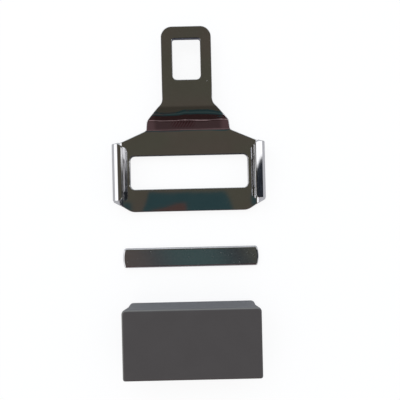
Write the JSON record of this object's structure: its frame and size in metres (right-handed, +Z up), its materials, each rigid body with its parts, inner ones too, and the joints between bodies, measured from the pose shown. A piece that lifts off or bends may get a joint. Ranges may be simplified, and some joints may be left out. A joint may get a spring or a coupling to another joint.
{
  "type": "seat belt tongue",
  "caption": "Folded steel seat belt tongue with latch window and webbing slot, laid out with its loose slide bar and plastic cover.",
  "frame": {"origin": "centre of the webbing slot, on the plane that the laid out kit rests on", "axes": "+Y from the webbing end towards the blade's tip, +X to the right across the slot, +Z up from the resting plane"},
  "size_m": [0.062, 0.1412, 0.014],
  "materials": {
    "chromed_steel": "bright chromium plate on stamped sheet",
    "plated_bar": "plated bar, slightly grained",
    "grey_plastic": "dark grey moulded plastic, fine grain"
  },
  "bodies": {
    "tongue": {"tongue_plate": "chromed_steel"},
    "bar": {"slide_bar": "plated_bar"},
    "cover": {"cover": "grey_plastic"}
  },
  "joints": [
    {"name": "bar_slide", "type": "slide", "parent": "tongue", "child": "bar", "axis": [0, 0.9871, 0.1599], "range_m": [0, 0.0313]},
    {"name": "cover_slide", "type": "slide", "parent": "tongue", "child": "cover", "axis": [0, 0.9953, 0.0965], "range_m": [0, 0.0652]}
  ]
}
